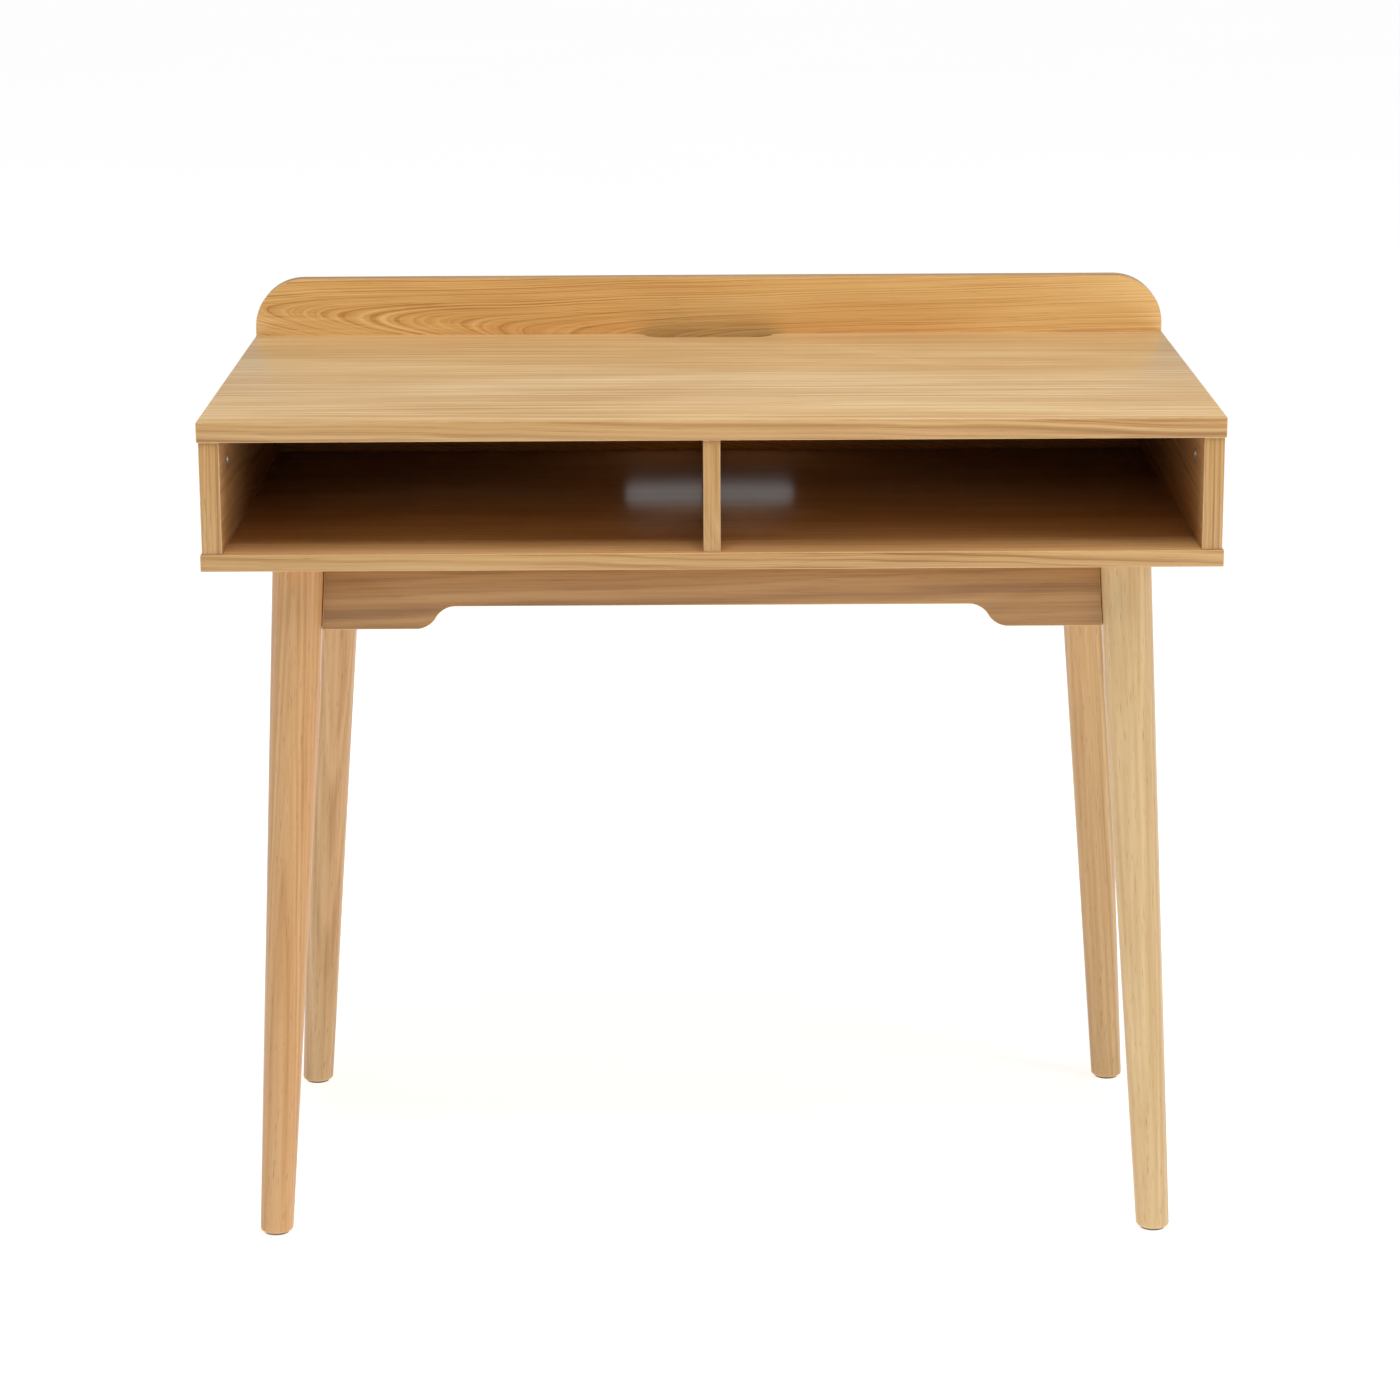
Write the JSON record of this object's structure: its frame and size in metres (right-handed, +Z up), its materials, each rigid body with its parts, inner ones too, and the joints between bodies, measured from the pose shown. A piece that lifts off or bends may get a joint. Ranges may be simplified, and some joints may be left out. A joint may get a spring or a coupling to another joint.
{
  "type": "writing desk",
  "caption": "Writing desk with open compartments under the desktop, a low back board with a cable port, shaped aprons and round tapered legs that lean outwards.",
  "frame": {"origin": "on the floor, under the centre of the desktop and back board", "axes": "+X to the right of someone who sits at the desk, +Y from the front edge to the wall, +Z up"},
  "size_m": [0.9, 0.52, 0.826],
  "materials": {
    "panel_oak": "satin",
    "leg_wood": "satin",
    "dowel_beech": "raw",
    "zinc_steel": "bright zinc",
    "bracket_steel": "zinc",
    "glide_plastic": "matte"
  },
  "bodies": {
    "root": {"desktop": "panel_oak", "base_panel": "panel_oak", "back_board": "panel_oak", "left_side_panel": "panel_oak", "right_side_panel": "panel_oak", "centre_divider": "panel_oak", "front_apron": "panel_oak", "rear_apron": "panel_oak", "left_apron": "panel_oak", "right_apron": "panel_oak", "front_left_leg": "leg_wood", "front_left_glide": "glide_plastic", "front_left_corner_bracket": "bracket_steel", "front_left_hanger_bolt": "zinc_steel", "front_left_flange_nut": "zinc_steel", "front_left_angle_bracket": "bracket_steel", "front_right_leg": "leg_wood", "front_right_glide": "glide_plastic", "front_right_corner_bracket": "bracket_steel", "front_right_hanger_bolt": "zinc_steel", "front_right_flange_nut": "zinc_steel", "front_right_angle_bracket": "bracket_steel", "rear_left_leg": "leg_wood", "rear_left_glide": "glide_plastic", "rear_left_corner_bracket": "bracket_steel", "rear_left_hanger_bolt": "zinc_steel", "rear_left_flange_nut": "zinc_steel", "rear_left_angle_bracket": "bracket_steel", "rear_right_leg": "leg_wood", "rear_right_glide": "glide_plastic", "rear_right_corner_bracket": "bracket_steel", "rear_right_hanger_bolt": "zinc_steel", "rear_right_flange_nut": "zinc_steel", "rear_right_angle_bracket": "bracket_steel", "cam_left_front": "zinc_steel", "cam_bolt_left_front": "zinc_steel", "cam_left_rear": "zinc_steel", "cam_bolt_left_rear": "zinc_steel", "cam_right_front": "zinc_steel", "cam_bolt_right_front": "zinc_steel", "cam_right_rear": "zinc_steel", "cam_bolt_right_rear": "zinc_steel", "dowel_left_front": "dowel_beech", "base_screw_left_front": "zinc_steel", "dowel_left_rear": "dowel_beech", "base_screw_left_rear": "zinc_steel", "dowel_right_front": "dowel_beech", "base_screw_right_front": "zinc_steel", "dowel_right_rear": "dowel_beech", "base_screw_right_rear": "zinc_steel", "dowel_divider_front": "dowel_beech", "base_screw_divider_front": "zinc_steel", "dowel_divider_rear": "dowel_beech", "base_screw_divider_rear": "zinc_steel", "back_screw_left_lower": "zinc_steel", "back_screw_left_upper": "zinc_steel", "back_screw_left_top": "zinc_steel", "back_screw_right_lower": "zinc_steel", "back_screw_right_upper": "zinc_steel", "back_screw_right_top": "zinc_steel"}
  },
  "joints": []
}
